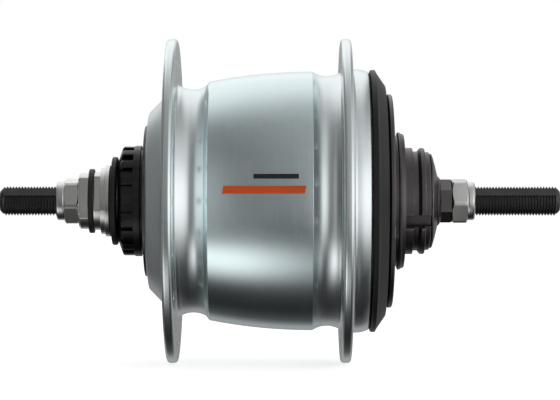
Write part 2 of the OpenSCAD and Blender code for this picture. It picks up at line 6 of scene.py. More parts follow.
import bmesh
import bpy
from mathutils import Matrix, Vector


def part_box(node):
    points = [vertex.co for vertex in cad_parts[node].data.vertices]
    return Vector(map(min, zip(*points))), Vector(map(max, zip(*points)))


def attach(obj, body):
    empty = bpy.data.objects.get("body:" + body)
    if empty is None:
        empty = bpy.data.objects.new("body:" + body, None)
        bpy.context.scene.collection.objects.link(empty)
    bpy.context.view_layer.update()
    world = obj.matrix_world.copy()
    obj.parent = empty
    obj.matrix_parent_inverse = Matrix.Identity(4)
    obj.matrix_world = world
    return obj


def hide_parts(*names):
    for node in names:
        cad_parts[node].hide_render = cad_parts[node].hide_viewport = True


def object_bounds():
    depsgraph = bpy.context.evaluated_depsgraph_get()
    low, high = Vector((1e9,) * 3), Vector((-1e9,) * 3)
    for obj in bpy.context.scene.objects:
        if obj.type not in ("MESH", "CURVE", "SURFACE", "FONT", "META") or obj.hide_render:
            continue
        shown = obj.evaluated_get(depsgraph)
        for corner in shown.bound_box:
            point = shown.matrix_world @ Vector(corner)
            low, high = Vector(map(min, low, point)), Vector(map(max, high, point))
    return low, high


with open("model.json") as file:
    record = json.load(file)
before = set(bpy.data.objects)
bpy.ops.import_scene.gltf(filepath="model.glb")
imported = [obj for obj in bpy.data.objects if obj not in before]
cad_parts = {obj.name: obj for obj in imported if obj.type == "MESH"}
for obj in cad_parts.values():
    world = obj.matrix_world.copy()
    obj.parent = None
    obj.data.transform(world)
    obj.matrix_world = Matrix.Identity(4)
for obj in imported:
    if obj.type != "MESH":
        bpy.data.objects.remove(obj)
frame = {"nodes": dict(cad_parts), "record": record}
cad_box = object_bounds()

MM = 0.001  # every outline below is in millimetres: (radius, place along the axle)
MERGE = 2e-4  # points closer than this, in millimetres, are one point
BEVEL_STEPS = 2
BEVEL_SHARE = 0.45  # most of a straight part that the bevel at one end of it may take
STRAIGHT = 88  # a corner with a half angle over this many degrees gets no bevel
SUPPORT = 0.5  # how far from a corner the points lie that hold a flat face flat
EVERYWHERE = (-1e3, 1e3)  # a span along the axle that holds every piece
FLAT_VIEW = 80  # degrees from a flat's middle at which it is well outside the piece
EDGE_GAP = 0.5  # degrees from a flat's edge to the columns of points on both sides of it
PLAIN_GAP = 1.2  # degrees that the columns in between keep from those


# ---- Outlines ------------------------------------------------------------------------


def arc(radius, place, size, start, end, steps):
    """Points of an arc about (radius, place), which are left as sharp as the arc makes them."""
    angles = [math.radians(start + (end - start) * i / steps) for i in range(steps + 1)]
    return [(radius + size * math.cos(a), place + size * math.sin(a), 0) for a in angles]


def bevelled(outline, bevel):
    """The closed outline with each corner rounded by bevel, or by the corner's own third number."""
    points = []
    for i, corner in enumerate(outline):
        here = Vector(corner[:2])
        size = corner[2] if len(corner) > 2 else bevel
        if size == 0:
            points.append(here)
            continue
        before = Vector(outline[i - 1][:2]) - here
        after = Vector(outline[(i + 1) % len(outline)][:2]) - here
        reach = 0.0
        if before.length > MERGE and after.length > MERGE:
            half = before.angle(after) / 2
            if half < math.radians(STRAIGHT):
                room = BEVEL_SHARE * min(before.length, after.length)
                reach = min(size / math.tan(half), room)
            before.normalize()
            after.normalize()
        for step in range(BEVEL_STEPS + 1):
            s = step / BEVEL_STEPS
            points.append(here + before * reach * (1 - s) ** 2 + after * reach * s**2)
    return points


def limited(outline, limit, span=EVERYWHERE):
    """The outline with its radius kept under limit between two places along the axle."""
    low, high = span
    return [(min(p[0], limit), *p[1:]) if low < p[1] < high else p for p in outline]


def turn_between(a, b):
    return abs((a - b + 180) % 360 - 180)


def flat_radius(angle, normals, apothem):
    """Distance from the axle to the nearest of several flats, in the direction of angle."""
    off = min(turn_between(angle, n) for n in normals)
    return apothem / math.cos(math.radians(min(off, FLAT_VIEW)))


def even(count, start=0.0):
    """Angles at equal steps round the axle."""
    return [start + 360 * i / count for i in range(count)]


def around_flats(normals, half, step):
    """Angles for a piece with flats: close together at each flat's two edges, even between."""
    edges = [n + side * (half + gap)
             for n in normals for side in (-1, 1) for gap in (-EDGE_GAP, EDGE_GAP)]
    plain = [a for a in even(round(360 / step))
             if all(turn_between(a, e) > PLAIN_GAP for e in edges)]
    return sorted({round(a % 360, 4) for a in edges + plain})


# ---- Meshes --------------------------------------------------------------------------


def skin(bm, rows, shift=0):
    """Quads between neighbouring rows of points, closed round; shift joins the last column to
    the first that many rows further on, as a screw thread does."""
    verts = [[bm.verts.new(p) for p in row] for row in rows]
    columns = len(rows[0])
    for i in range(len(rows) - 1):
        for j in range(columns):
            after = (j + 1) % columns
            on = shift if after == 0 else 0
            if i + 1 + on < len(rows):
                bm.faces.new(
                    (verts[i][j], verts[i + 1][j], verts[i + 1 + on][after], verts[i + on][after])
                )


def at(angle, radius, place):
    """The point at an angle round the axle, a radius and a place along it."""
    a = math.radians(angle)
    return (radius * math.cos(a), place, radius * math.sin(a))


def lathe(columns):
    """Solid ring from (angle, closed outline) columns that all have the same number of points."""
    bm = bmesh.new()
    rows = list(zip(*[[at(angle, *p) for p in outline] for angle, outline in columns]))
    skin(bm, rows + rows[:1])
    return bm


def supported(outline):
    """The closed outline with extra points close to both ends of every long straight part."""
    points = []
    for i, here in enumerate(outline):
        here, after = Vector(here[:2]), Vector(outline[(i + 1) % len(outline)][:2])
        length = (after - here).length
        points.append(here)
        if length > 3 * SUPPORT:
            points += [here.lerp(after, SUPPORT / length), after.lerp(here, SUPPORT / length)]
    return points


def turned(outline, bevel, count=96):
    """Plain turned piece with count columns of points round it."""
    shape = supported(bevelled(outline, bevel))
    return lathe([(a, shape) for a in even(count)])


def settle(bm):
    """Joins coinciding points, drops what they flatten and turns the faces outwards."""
    bmesh.ops.remove_doubles(bm, verts=bm.verts, dist=MERGE)
    bmesh.ops.dissolve_degenerate(bm, edges=bm.edges, dist=MERGE / 2)
    bmesh.ops.recalc_face_normals(bm, faces=bm.faces)


def add_object(name, bm, left=None):
    """A mesh object from millimetres; left is where its lowest place along the axle belongs."""
    settle(bm)
    shift = 0.0 if left is None else left / MM - min(v.co.y for v in bm.verts)
    for v in bm.verts:
        v.co = (v.co + Vector((0, shift, 0))) * MM
    mesh = bpy.data.meshes.new(name)
    bm.to_mesh(mesh)
    bm.free()
    made = bpy.data.objects.new(name, mesh)
    bpy.context.scene.collection.objects.link(made)
    return made


def cut(obj, cutter_bm):
    """Takes the cutter away from obj and keeps the result as obj's mesh."""
    cutter = add_object("cutter", cutter_bm)
    modifier = obj.modifiers.new("cut", "BOOLEAN")
    modifier.operation, modifier.solver, modifier.object = "DIFFERENCE", "EXACT", cutter
    result = bpy.data.meshes.new_from_object(
        obj.evaluated_get(bpy.context.evaluated_depsgraph_get())
    )
    obj.modifiers.remove(modifier)
    bpy.data.objects.remove(cutter)
    obj.data = result
    result.name = obj.name


def prism(bm, corners, low, high):
    """Adds a straight prism of (angle, radius) corners between two places to bm."""
    ends = [[bm.verts.new(at(a, r, y)) for a, r in corners] for y in (low, high)]
    bm.faces.new(ends[0])
    bm.faces.new(reversed(ends[1]))
    for i in range(len(corners)):
        j = (i + 1) % len(corners)
        bm.faces.new((ends[0][i], ends[1][i], ends[1][j], ends[0][j]))


def finish_piece(obj, node, body, slot, materials, zone=None, sharp=60):
    """Shades the piece, gives it its materials and lets it stand for the CAD node."""
    mesh = obj.data
    mesh.materials.clear()
    for material in materials:
        mesh.materials.append(material)
    mesh.shade_smooth()
    mesh.set_sharp_from_angle(angle=math.radians(sharp))
    if zone:
        for face in mesh.polygons:
            x, y, z = face.center / MM
            face.material_index = zone(math.hypot(x, z), y)
    weighted = obj.modifiers.new("weighted_normals", "WEIGHTED_NORMAL")
    weighted.keep_sharp = True
    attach(obj, body)
    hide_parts(node)


def make(node, body, slot, bm, *materials, cutter=None, **more):
    """One detailed piece with its left end where the CAD node's is."""
    obj = add_object(node + "_detailed", bm, left=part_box(node)[0].y)
    if cutter:
        cut(obj, cutter)
    finish_piece(obj, node, body, slot, materials, **more)


# ---- Material nodes ------------------------------------------------------------------


class Tree:
    """Short calls for building a node tree."""

    def __init__(self, tree):
        self.tree = tree
        tree.nodes.clear()

    def add(self, kind, inputs=None, **settings):
        made = self.tree.nodes.new(kind)
        for key, value in settings.items():
            setattr(made, key, value)
        for key, value in (inputs or {}).items():
            if isinstance(value, bpy.types.NodeSocket):
                self.tree.links.new(value, made.inputs[key])
            else:
                made.inputs[key].default_value = value
        return made

    def math(self, operation, *values, clamp=False):
        inputs = dict(enumerate(values))
        return self.add("ShaderNodeMath", inputs, operation=operation, use_clamp=clamp).outputs[0]

    def sum(self, a, weight_a, b, weight_b):
        """The sum of two values, each times its weight."""
        return self.math(
            "ADD", self.math("MULTIPLY", a, weight_a), self.math("MULTIPLY", b, weight_b)
        )

    def vector(self, operation, *values):
        made = self.add("ShaderNodeVectorMath", dict(enumerate(values)), operation=operation)
        return made.outputs["Value" if operation == "LENGTH" else "Vector"]

    def span(self, value, low, high, to_low=0.0, to_high=1.0, smooth=False):
        """value mapped from low..high to to_low..to_high and held at the ends."""
        made = self.add(
            "ShaderNodeMapRange",
            {"Value": value, "From Min": low, "From Max": high, "To Min": to_low, "To Max": to_high},
            interpolation_type="SMOOTHSTEP" if smooth else "LINEAR",
        )
        return made.outputs["Result"]

    def ramp(self, value, stops, interpolation="LINEAR"):
        """Colour from (place, grey or colour) stops."""
        made = self.add("ShaderNodeValToRGB", {"Fac": value})
        made.color_ramp.interpolation = interpolation
        elements = made.color_ramp.elements
        while len(elements) < len(stops):
            elements.new(0.5)
        for element, (place, colour) in zip(elements, stops):
            element.position = place
            rgb = colour if isinstance(colour, tuple) else (colour,) * 3
            element.color = (*rgb, 1)
        return made.outputs["Color"]

    def noise(self, vector, scale, detail=2.0, w=None):
        inputs = {"Vector": vector, "Scale": scale, "Detail": detail}
        if w is not None:
            inputs["W"] = w
        made = self.add("ShaderNodeTexNoise", inputs, noise_dimensions="3D" if w is None else "4D")
        return made.outputs["Fac"]

    def mix(self, factor, a, b):
        made = self.add("ShaderNodeMix", data_type="RGBA")
        for key, value in (("Factor_Float", factor), ("A_Color", a), ("B_Color", b)):
            socket = next(s for s in made.inputs if s.identifier == key)
            if isinstance(value, bpy.types.NodeSocket):
                self.tree.links.new(value, socket)
            else:
                socket.default_value = value
        return next(s for s in made.outputs if s.identifier == "Result_Color")


def shade(colour, factor):
    return tuple(min(c * factor, 1.0) for c in colour)


def polar(t):
    """The place on the object, its direction from the axle, its radius and its place along it."""
    place = t.add("ShaderNodeTexCoord").outputs["Object"]
    parts = t.add("ShaderNodeSeparateXYZ", {0: place}).outputs
    across = t.add("ShaderNodeCombineXYZ", {"X": parts["X"], "Z": parts["Z"]}).outputs[0]
    return place, t.vector("NORMALIZE", across), t.vector("LENGTH", across), parts


def turned_grain(t, around, radius, along, line):
    """Noise drawn out round the axle as a cutting tool leaves it; line is a groove's width."""
    stretched = t.vector("MULTIPLY", around, (GRAIN_SWEEP, 0, GRAIN_SWEEP))
    lengthwise = t.math("MULTIPLY", along, 1 / (line * MM))
    vector = t.vector(
        "ADD", stretched, t.add("ShaderNodeCombineXYZ", {"Y": lengthwise}).outputs[0]
    )
    return t.noise(vector, 1.0, 3.0, w=t.math("MULTIPLY", radius, 1 / (line * MM)))


# Noise sizes, in waves per metre: slow clouds of tone, blotches, and a cast skin's speckle
CLOUD, BLOTCH, SPECKLE = 90.0, 350.0, 2600.0
NOISE_SPAN = (0.3, 0.7)  # nearly all of a noise's values lie between these
GRAIN_SWEEP = 2.5  # how often the turned grain changes on the way round the axle
SMOOTHEST = 0.02  # the lowest roughness that uneven gloss may reach
EDGE_SPAN = (0.52, 0.6)  # from a flat face's pointiness to a sharp edge's
WEAR_PATCHES = (0.35, 0.6)  # blotches below the first value keep their edge dark
BLOTCH_HEIGHT = 0.4  # height of the blotches, as a part of the grain's
INK_ROUGHNESS = 0.12  # added to the metal's own roughness


def finish_material(
    name,
    colour,
    roughness,
    metallic=1.0,
    line=0.3,
    depth=0.002,
    spread=0.05,
    tone=0.06,
    wear=None,
    print_mark=None,
    speckle=0.0,
    specular=0.5,
):
    """A metal or plastic with a turned grain, uneven gloss and, if wear is given, lighter edges.
    line is the grain's width and depth its height, both in millimetres. spread is how far the
    roughness strays from its middle, and tone is the same for the colour, as a part of it."""
    material = bpy.data.materials.new(name)
    material.use_nodes = True
    t = Tree(material.node_tree)
    place, around, radius, parts = polar(t)
    grain = turned_grain(t, around, radius, parts["Y"], line)
    blotch = t.noise(place, BLOTCH, 3.0)
    mottle = t.sum(t.noise(place, CLOUD, 4.0), 0.6, blotch, 0.4)
    low, high = NOISE_SPAN
    base = t.ramp(
        t.sum(mottle, 0.7, grain, 0.3),
        [(low, shade(colour, 1 - tone)), (high, shade(colour, 1 + tone))],
    )
    smooth, rough = max(roughness - spread, SMOOTHEST), roughness + spread
    gloss = t.span(t.sum(mottle, 0.5, grain, 0.5), low, high, smooth, rough)
    shader = t.add(
        "ShaderNodeBsdfPrincipled", {"Metallic": metallic, "Specular IOR Level": specular}
    )
    if wear:
        edge = t.span(t.add("ShaderNodeNewGeometry").outputs["Pointiness"], *EDGE_SPAN)
        patchy = t.math("MULTIPLY", edge, t.span(blotch, *WEAR_PATCHES))
        base = t.mix(patchy, base, (*wear, 1))
    if print_mark:
        mask, ink = print_mark(t, parts)
        base = t.mix(mask, base, ink)
        t.tree.links.new(t.math("SUBTRACT", 1.0, mask), shader.inputs["Metallic"])
        gloss = t.math("ADD", gloss, t.math("MULTIPLY", mask, INK_ROUGHNESS))
    height = t.math("ADD", grain, t.math("MULTIPLY", blotch, BLOTCH_HEIGHT))
    if speckle:
        height = t.math("ADD", height, t.math("MULTIPLY", t.noise(place, SPECKLE), speckle))
    bump = t.add("ShaderNodeBump", {"Height": height, "Distance": depth * MM, "Strength": 1.0})
    links = t.tree.links
    links.new(base, shader.inputs["Base Color"])
    links.new(gloss, shader.inputs["Roughness"])
    links.new(bump.outputs[0], shader.inputs["Normal"])
    t.add("ShaderNodeOutputMaterial", {"Surface": shader.outputs[0]})
    return material


# The two printed bars, in millimetres: left end, right end, bottom, top, and how far a bar
# leans to the right for each millimetre up
ORANGE_BAR = (-18.8, 7.4, 2.2, 4.9, 0.2)
DARK_BAR = (-8.4, 6.0, 6.9, 8.6, 0.0)
ORANGE_INK = (0.75, 0.1, 0.015, 1)
DARK_INK = (0.012, 0.013, 0.016, 1)
INK_EDGE = 0.12  # width over which a bar's edge fades, in millimetres


def bar(t, parts, left, right, low, high, slant):
    """Mask of a slanted bar on the barrel's front, in millimetres along and up the object."""
    y = t.math("MULTIPLY", parts["Y"], 1 / MM)
    z = t.math("MULTIPLY", parts["Z"], 1 / MM)
    y = t.math("SUBTRACT", y, t.math("MULTIPLY", z, slant))
    mask = t.math("GREATER_THAN", parts["X"], 0.0)
    for value, start, end in ((y, left, right), (z, low, high)):
        mask = t.math("MULTIPLY", mask, t.span(value, start, start + INK_EDGE))
        mask = t.math("MULTIPLY", mask, t.span(value, end - INK_EDGE, end, 1.0, 0.0))
    return mask


def plain_bars(t, parts):
    """The barrel's print: one orange bar and one dark bar, where a hub carries its lettering."""
    orange, dark = bar(t, parts, *ORANGE_BAR), bar(t, parts, *DARK_BAR)
    ink = t.mix(dark, ORANGE_INK, DARK_INK)
    return t.math("MAXIMUM", orange, dark), ink


ALUMINIUM = (0.78, 0.84, 0.85)
BARREL = (0.73, 0.84, 0.86)
BORED = (0.6, 0.64, 0.65)
BRIGHT = (0.72, 0.72, 0.7)
BROWN, BROWN_WORN = (0.115, 0.105, 0.108), (0.3, 0.28, 0.27)
BLACK, BLACK_WORN = (0.085, 0.085, 0.088), (0.12, 0.12, 0.12)
SPLINE, SPLINE_WORN = (0.04, 0.04, 0.043), (0.08, 0.08, 0.085)
PLASTIC, RUBBER = (0.012, 0.0125, 0.0125), (0.01, 0.01, 0.01)
GEAR, GEAR_WORN = (0.42, 0.42, 0.43), (0.7, 0.7, 0.7)
CAGE = (0.5, 0.49, 0.46)

barrel_metal = finish_material(
    "barrel_satin", BARREL, 0.2, line=0.5, depth=0.0004, spread=0.03, tone=0.03,
    print_mark=plain_bars,
)
flange_metal = finish_material(
    "flange_polish", ALUMINIUM, 0.18, line=0.4, depth=0.0004, spread=0.02, tone=0.03
)
groove_metal = finish_material(
    "groove_satin", ALUMINIUM, 0.25, line=0.4, depth=0.0004, spread=0.02, tone=0.03
)
dome_metal = finish_material("dome_satin", ALUMINIUM, 0.36, line=0.6, depth=0.001, tone=0.04)
drum_metal = finish_material(
    "drum_satin", ALUMINIUM, 0.2, line=0.5, depth=0.0006, spread=0.03, tone=0.04
)
bored_metal = finish_material("bored_aluminium", BORED, 0.4, line=0.5, depth=0.004)
bright_metal = finish_material(
    "bright_steel", BRIGHT, 0.09, line=0.35, depth=0.001, spread=0.04, tone=0.1
)
brown_metal = finish_material(
    "darkened_steel", BROWN, 0.36, line=0.45, depth=0.003, tone=0.15, wear=BROWN_WORN
)
black_metal = finish_material(
    "black_oxide", BLACK, 0.45, depth=0.003, tone=0.3, wear=BLACK_WORN, speckle=0.5
)
spline_metal = finish_material(
    "spline_coating", SPLINE, 0.3, line=0.4, depth=0.003, tone=0.3, wear=SPLINE_WORN,
    speckle=0.6,
)
cover_plastic = finish_material(
    "cover_plastic", PLASTIC, 0.42, metallic=0.0, line=0.7, depth=0.006, tone=0.2,
    speckle=0.3, specular=0.25,
)
seal_rubber = finish_material(
    "seal_rubber", RUBBER, 0.5, metallic=0.0, line=0.6, depth=0.006, spread=0.08, tone=0.25,
    speckle=1.0,
)
gear_metal = finish_material(
    "gear_steel", GEAR, 0.3, line=0.4, depth=0.004, tone=0.12, wear=GEAR_WORN
)
cage_metal = finish_material(
    "cage_steel", CAGE, 0.26, depth=0.003, spread=0.06, tone=0.1
)


# ---- Pieces fixed to the axle --------------------------------------------------------

THREAD_RADIUS = 4.7625
THREAD_ROOT = 4.2
THREAD_PITCH = 0.977
THREAD_BORE = 4.7925
# (part of the pitch, radius) where the thread's root ends, its crest starts and ends
THREAD_CORNERS = [(0.0, THREAD_ROOT), (0.215, THREAD_ROOT), (0.546, THREAD_RADIUS),
                  (0.669, THREAD_RADIUS)]
AXLE_END = 92.0
AXLE_TIP = 3.25  # radius of the axle's two end faces
AXLE_FLATS = (42, 222)
AXLE_FLAT_APOTHEM = 4.475
AXLE_FLAT_REACH = 20  # half the angle that a flat of the axle covers
SHANK, CORE = 4.7, 6.0  # the axle's radius beside the threads and between the bearings
LEFT_THREAD, RIGHT_THREAD = -72.4, 63.0  # where the modelled threads end, inside the washers
SUN_PAWLS = (-14.0, 9.5)  # middles of the slots that the sun pawls fold into
PAWL_SLOT = 1.65  # half a slot's length along the axle
PAWL_SLOT_SIDE, PAWL_SLOT_FLOOR, PAWL_SLOT_TOP = 1.55, 4.2, 8

# Where pieces meet along the axle, between the two frame faces: a nut's, washer's or cone's
# name stands for its left end
LEFT_FACE, LEFT_LOCKNUT, LEFT_NUT, LEFT_WASHER, LEFT_CONE = -73.3, -70.7, -66.0, -62.6, -61.0
RIGHT_LOCKNUT, RIGHT_WASHER, RIGHT_FACE = 56.4, 61.5, 63.9
WASHER_RADIUS, WASHER_CHAMFER = 6.28, 0.4


def axle_radius(angle, place, radius):
    """The thread's radius, less what the end cones take off; the flats are plain faces."""
    flat = flat_radius(angle, AXLE_FLATS, AXLE_FLAT_APOTHEM)
    if flat < THREAD_RADIUS and not LEFT_FACE < place < RIGHT_FACE:
        radius = flat
    return max(min(radius, AXLE_TIP + AXLE_END - abs(place)), AXLE_TIP)


def thread(bm, angles, low, high, low_radius, high_radius):
    """Adds the thread from low to high, ending in plain rings of the given radii."""
    corners = len(THREAD_CORNERS)
    rows = []
    for i in range(int((high - low) / THREAD_PITCH + 3) * corners):
        part, radius = THREAD_CORNERS[i % corners]
        row = []
        for angle in angles:
            place = low + THREAD_PITCH * (i // corners - 1.5 + part + angle / 360)
            if place <= low:
                row.append(at(angle, low_radius, low))
            elif place >= high:
                row.append(at(angle, high_radius, high))
            else:
                row.append(at(angle, axle_radius(angle, place, radius), place))
        rows.append(row)
    skin(bm, rows, shift=corners)


def axle_mesh():
    bm = bmesh.new()
    angles = around_flats(AXLE_FLATS, AXLE_FLAT_REACH, 3.75)
    left, right = LEFT_THREAD, RIGHT_THREAD
    middle = [(THREAD_ROOT, left), (SHANK, left + 0.5), (SHANK, -46), (CORE - 0.1, -46),
              (CORE, -45.9), (CORE, 43.9), (CORE - 0.1, 44), (SHANK, 44), (SHANK, right - 0.5),
              (THREAD_ROOT, right)]
    thread(bm, angles, -AXLE_END, left, AXLE_TIP, THREAD_ROOT)
    thread(bm, angles, right, AXLE_END, THREAD_ROOT, AXLE_TIP)
    skin(bm, [[at(a, *p) for a in angles] for p in middle])
    for side in (-1, 1):  # the two end faces, each with a centre mark
        mark = [(AXLE_TIP, AXLE_END), (1.95, AXLE_END), (1.85, AXLE_END - 0.1),
                (0.0, AXLE_END - 1.3)]
        skin(bm, [[at(a, r, side * y) for a in angles] for r, y in mark])
    return bm


def pawl_slots():
    """The two slots that the sun pawls fold into, as cutters."""
    side, floor, top = PAWL_SLOT_SIDE, PAWL_SLOT_FLOOR, PAWL_SLOT_TOP
    corners = [(math.degrees(math.atan2(z, x)), math.hypot(x, z))
               for x, z in ((-side, floor), (side, floor), (side, top), (-side, top))]
    bm = bmesh.new()
    for middle in SUN_PAWLS:
        prism(bm, corners, middle - PAWL_SLOT, middle + PAWL_SLOT)
    return bm


def locknut_mesh(low, high, corner_angle):
    """Hexagon nut with its corners turned down and a cone on both faces."""
    apothem, turned_down, face, cone = 6.885, 7.62, 6.72, 0.5 / 0.9
    normals = even(6, corner_angle + 30)
    angles = around_flats(normals, 25.4, 5)
    columns = []
    for angle in angles:
        radius = min(turned_down, flat_radius(angle, normals, apothem))
        step = (radius - face) * cone
        outline = [(THREAD_BORE + 0.3, low), (face, low), (radius, low + step),
                   (radius, high - step), (face, high), (THREAD_BORE + 0.3, high),
                   (THREAD_BORE, high - 0.3), (THREAD_BORE, low + 0.3)]
        columns.append((angle, bevelled(outline, 0.1)))
    return lathe(columns)


def flatted(outline, normals, apothem, reach, bevel, span=EVERYWHERE):
    """Turned piece with flats; reach is half the angle that a flat covers."""
    columns = []
    for angle in around_flats(normals, reach, 4):
        shape = limited(outline, flat_radius(angle, normals, apothem), span)
        columns.append((angle, bevelled(shape, bevel)))
    return lathe(columns)


make("axle", "axle", "black_oxide_steel", axle_mesh(), black_metal, cutter=pawl_slots(), sharp=40)
make(
    "left_end_washer", "axle", "bright_steel",
    turned([(THREAD_BORE, LEFT_FACE), (WASHER_RADIUS - WASHER_CHAMFER, LEFT_FACE),
            (WASHER_RADIUS, LEFT_FACE + WASHER_CHAMFER), (WASHER_RADIUS, LEFT_LOCKNUT),
            (THREAD_BORE, LEFT_LOCKNUT)], 0.15),
    bright_metal,
)
make(
    "right_end_washer", "axle", "bright_steel",
    turned([(THREAD_BORE, RIGHT_WASHER), (WASHER_RADIUS, RIGHT_WASHER),
            (WASHER_RADIUS, RIGHT_FACE - WASHER_CHAMFER),
            (WASHER_RADIUS - WASHER_CHAMFER, RIGHT_FACE), (THREAD_BORE, RIGHT_FACE)], 0.15),
    bright_metal,
)
make(
    "left_locknut", "axle", "bright_steel",
    locknut_mesh(LEFT_LOCKNUT, LEFT_NUT, -13),
    bright_metal,
)
make(
    "right_locknut", "axle", "bright_steel",
    locknut_mesh(RIGHT_LOCKNUT, RIGHT_WASHER, -6),
    bright_metal,
)
make(
    "left_adjusting_nut", "axle", "bright_steel",
    flatted([(THREAD_BORE, LEFT_NUT), (8.5, LEFT_NUT), (9.2, LEFT_NUT + 0.7),
             (9.2, LEFT_WASHER), (THREAD_BORE, LEFT_WASHER)],
            (9, 189), 6.4, 45.9, 0.15),
    bright_metal,
)
make(
    "left_lock_washer", "axle", "seal_rubber",
    turned([(THREAD_BORE, LEFT_WASHER), (10.55, LEFT_WASHER), (10.55, LEFT_CONE),
            (THREAD_BORE, LEFT_CONE)], 0.25),
    seal_rubber,
)
make(
    "left_cone", "axle", "bright_steel",
    flatted([(THREAD_BORE, LEFT_CONE), (9.5, LEFT_CONE, 0.25), (9.5, -58.701, 0), (10.9, -58.7),
             (10.9, -57.2), (11.7, -57.2), (11.7, -55.7), (9, -55.7), (9, -48.067),
             (8.533, -47.6), (8.533, -46.4), (THREAD_BORE, -46.4)],
            (20, 200), 7.5, 37.9, 0.15, span=(-61.5, -58.7005)),
    bright_metal,
)
make(
    "left_dust_ring", "axle", "seal_rubber",
    turned([(9.03, -55.6), (11.6, -55.6), (12.2, -55.2), (14.2, -55), (14.5, -54.7),
            (14.5, -53.6), (14.2, -53.3), (9.03, -53.3)], 0.1),
    seal_rubber,
)
make(
    "right_dust_shield", "axle", "black_oxide_steel",
    turned([(8.13, 49.3), (15.6, 49.3), (15.3, 49.8), (13.7, 50.3), (12.35, 50.7),
            (9.06, 51.5), (8.13, 51.5)], 0.12),
    brown_metal,
)


def right_cone_mesh():
    """Race, neck and shield seat turned from the bar, and a hexagon for the cone wrench."""
    corner = 7.1
    apothem = corner * math.cos(math.radians(30))
    normals = even(6)
    turned_part = [(THREAD_BORE, 44.6), (6.244, 44.6), (9.4, 47.756), (9.4, 49.2), (8.1, 49.2),
                   (8.1, 52), (corner, 52.7)]
    columns = []
    for angle in around_flats(normals, 29.5, 5):
        radius = min(corner, flat_radius(angle, normals, apothem))
        outline = turned_part + [(radius, 52.701), (radius, RIGHT_LOCKNUT - 0.3),
                                 (radius - 0.3, RIGHT_LOCKNUT), (THREAD_BORE, RIGHT_LOCKNUT)]
        columns.append((angle, bevelled(outline, 0.1)))
    return lathe(columns)


make("right_cone", "axle", "black_oxide_steel", right_cone_mesh(), brown_metal)


# ---- Pieces that turn with the shell -------------------------------------------------

LEFT_FLANGE, RIGHT_FLANGE = -35.2, 21.5
HALF_FLANGE = 1.7
FLANGE_RADIUS = 53.2
RIM_ROUND = 1.1  # the rim's corners; its crown between them is flat
SPOKES = 18
SPOKE_CIRCLE = 46.5
SPOKE_HOLE = 1.45
COUNTERSINK = 0.3
GROOVE = 8.5  # radius of the hollow beside each flange
BARREL_START, BARREL_END = -22.9, 10.5
BARREL_RADIUS, BARREL_CURVE = 42.5, 175.0


def barrel_outline(steps):
    """The barrel's long shallow curve, widest at its right edge."""
    points = []
    for i in range(steps + 1):
        y = BARREL_START + (BARREL_END - BARREL_START) * i / steps
        drop = BARREL_CURVE - math.sqrt(BARREL_CURVE**2 - (BARREL_END - y) ** 2)
        sharp = {0: 0.12, steps: 0.25}.get(i, 0)
        points.append((BARREL_RADIUS - drop, y, sharp))
    return points


def rim(middle):
    """A flange's rim from its left face over the crown to its right face."""
    radius, off = FLANGE_RADIUS - RIM_ROUND, HALF_FLANGE - RIM_ROUND
    return (arc(radius, middle - off, RIM_ROUND, -90, 0, 7)
            + arc(radius, middle + off, RIM_ROUND, 0, 90, 7))


def hub_shell_mesh():
    left_in, right_in = LEFT_FLANGE + HALF_FLANGE, RIGHT_FLANGE - HALF_FLANGE
    outside = [(15.4, -51), (15.4, -43.3), (25.7, -43.3), (29, -42.8, 1.5), (33.3, -38.6, 0.3),
               (35.4, LEFT_FLANGE - HALF_FLANGE, 0.5)]
    outside += rim(LEFT_FLANGE)
    outside += arc(38.8, left_in + 1.1, 1.1, -90, -150, 5)
    outside += arc(45.2, left_in + 5.1, GROOVE, -152, -208, 20) + [(37.81, -24.2, 0.08)]
    outside += [(39.05, BARREL_START - 0.4, 0.12)] + barrel_outline(24)
    outside += arc(49.55, right_in - 4.5, GROOVE, 205, 155, 18)
    outside += arc(42.75, right_in - 0.9, 0.9, 150, 90, 4)
    outside += rim(RIGHT_FLANGE)
    outside += arc(44.5, RIGHT_FLANGE + HALF_FLANGE + 1.2, 1.2, -90, -180, 6)
    outside += [(43.28, 25.2, 0), (43.2, 26, 0), (43.05, 26.9, 0), (42.8, 27.8, 0),
                (42.5, 28.5, 0), (42.1, 29, 0.1)]
    inside = [(38, 29), (38, 19), (35, 19), (35, -33.4), (28.5, -34.4), (27.5, -34.4),
              (27.5, -40.6), (12, -40.6), (12, -43.2), (14.05, -43.2), (14.05, -51)]
    return turned(outside + inside, 0.2, 240)


def spoke_holes():
    """Cutters for every spoke hole, with a small countersink on both sides of the flange."""
    past = 0.3
    wide = SPOKE_HOLE + COUNTERSINK + past
    outline = [(0, -HALF_FLANGE - past), (wide, -HALF_FLANGE - past),
               (SPOKE_HOLE, -HALF_FLANGE + COUNTERSINK), (SPOKE_HOLE, HALF_FLANGE - COUNTERSINK),
               (wide, HALF_FLANGE + past), (0, HALF_FLANGE + past)]
    bm = bmesh.new()
    for middle, first in ((LEFT_FLANGE, 0.0), (RIGHT_FLANGE, 180 / SPOKES)):
        for angle in even(SPOKES, first):
            centre = Vector(at(angle, SPOKE_CIRCLE, middle))
            skin(bm, [[centre + Vector(at(a, r, y)) for a in even(28)] for r, y in outline])
    return bm


# The shell's finishes: smallest and largest radius, left and right end. What is left is bored.
SHELL_ZONES = [
    (37.8, 60, BARREL_START - 1.2, 11.6),  # barrel
    (36.2, 42.8, -32.5, 19),  # grooves
    (36.2, 60, -60, 23.3),  # flanges
    (25, 60, -60, LEFT_FLANGE - HALF_FLANGE + 0.2),  # dome
    (41, 60, 23.2, 40),  # drum
]


def shell_zone(radius, place):
    """Number of the finish that a face of the shell has: the first zone that holds it."""
    for number, (inner, outer, left, right) in enumerate(SHELL_ZONES):
        if inner < radius < outer and left < place < right:
            return number
    return len(SHELL_ZONES)


